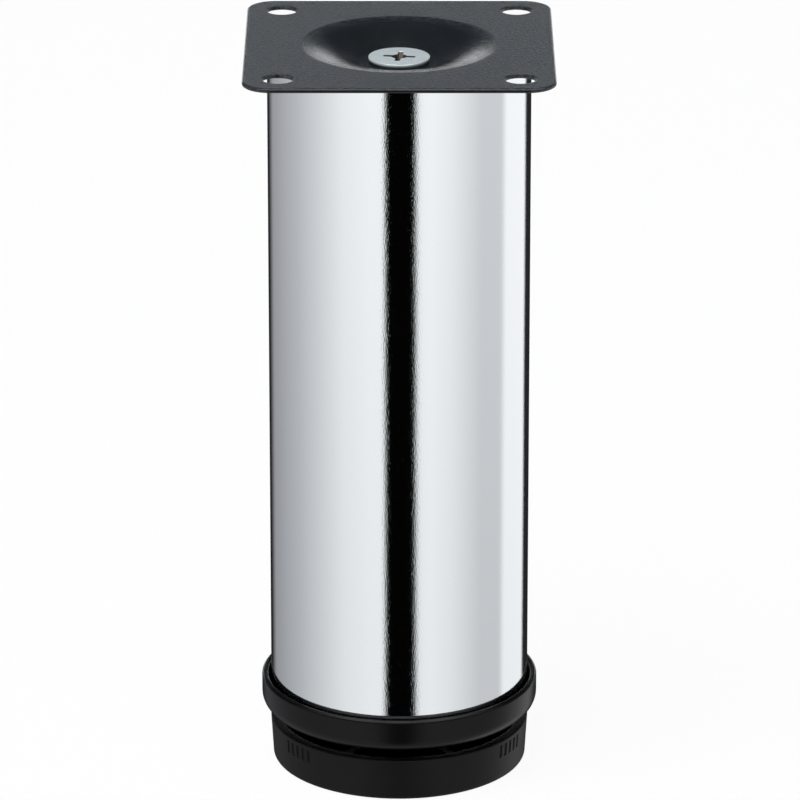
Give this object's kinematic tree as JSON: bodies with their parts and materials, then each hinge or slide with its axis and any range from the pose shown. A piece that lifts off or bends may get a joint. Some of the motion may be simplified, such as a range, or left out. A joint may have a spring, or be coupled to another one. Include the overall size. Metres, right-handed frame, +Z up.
{
  "type": "height adjustable furniture leg",
  "caption": "Chrome plated round tube leg with a dished black steel mounting plate on top and a black screw-in levelling foot in a moulded collar below.",
  "frame": {"origin": "centre of the foot's sole, on the floor, with the foot screwed out 2.5 mm from closed", "axes": "+Z up the leg to the mounting plate, -Y the side that faces the viewer in the picture, +X to the right"},
  "size_m": [0.07, 0.07, 0.1735],
  "materials": {
    "black_powder_coat": "fine textured satin black powder coat on pressed steel",
    "chrome_plate": "bright chrome plate on steel tube",
    "zinc_plated_steel": "blue-bright zinc plate",
    "plain_steel": "plain pressed steel",
    "black_plastic": "satin black moulded plastic"
  },
  "bodies": {
    "leg": {"mounting_plate": "black_powder_coat", "plate_screw": "zinc_plated_steel", "leg_tube": "chrome_plate", "top_bridge": "plain_steel", "bridge_nut": "zinc_plated_steel", "foot_socket": "black_plastic", "socket_nut": "zinc_plated_steel"},
    "foot_stem": {"foot_stud": "zinc_plated_steel"},
    "adjuster": {"adjuster_foot": "black_plastic"}
  },
  "joints": [
    {"name": "foot_rise", "type": "slide", "parent": "leg", "child": "foot_stem", "axis": [0, 0, -1], "range_m": [-0.002, 0.012]},
    {"name": "foot_turn", "type": "hinge", "parent": "foot_stem", "child": "adjuster", "pos_m": [0, 0, 0], "axis": [0, 0, -1], "range_deg": [-480, 2880]}
  ],
  "couplings": [
    {"joint": "foot_rise", "follows": "foot_turn", "m_per_rad": 0.0002387}
  ]
}
